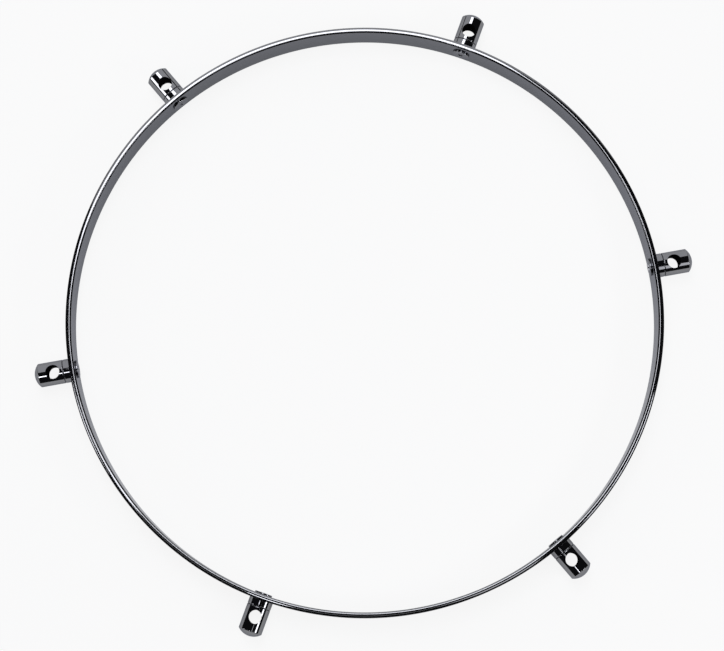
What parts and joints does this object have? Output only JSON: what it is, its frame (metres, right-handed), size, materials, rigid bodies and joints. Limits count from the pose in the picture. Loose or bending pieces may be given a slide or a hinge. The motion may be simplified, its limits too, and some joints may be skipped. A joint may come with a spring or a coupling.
{
  "type": "drum hoop",
  "caption": "Round counterhoop of flat chromed steel strap, with domed and cross-drilled barrel lugs that stand out from it and take upright tension rods.",
  "frame": {"origin": "on the hoop's axis, in the plane of its lower edge", "axes": "+Z along the hoop's axis, from its lower edge to its upper edge; +X through the first lug"},
  "size_m": [0.4176, 0.3718, 0.0216],
  "materials": {
    "strap": "bright chrome plate over rolled steel strap",
    "collar": "bright chrome plate over turned steel",
    "barrel": "polished chrome plate over turned steel",
    "screw": "chrome plate over a pressed steel head"
  },
  "bodies": {
    "root": {"hoop_strap": "strap", "lug_collar_1": "collar", "lug_collar_2": "collar", "lug_collar_3": "collar", "lug_collar_4": "collar", "lug_collar_5": "collar", "lug_collar_6": "collar", "lug_barrel_1": "barrel", "lug_barrel_2": "barrel", "lug_barrel_3": "barrel", "lug_barrel_4": "barrel", "lug_barrel_5": "barrel", "lug_barrel_6": "barrel", "lug_screw_1": "screw", "lug_screw_2": "screw", "lug_screw_3": "screw", "lug_screw_4": "screw", "lug_screw_5": "screw", "lug_screw_6": "screw"}
  },
  "joints": []
}
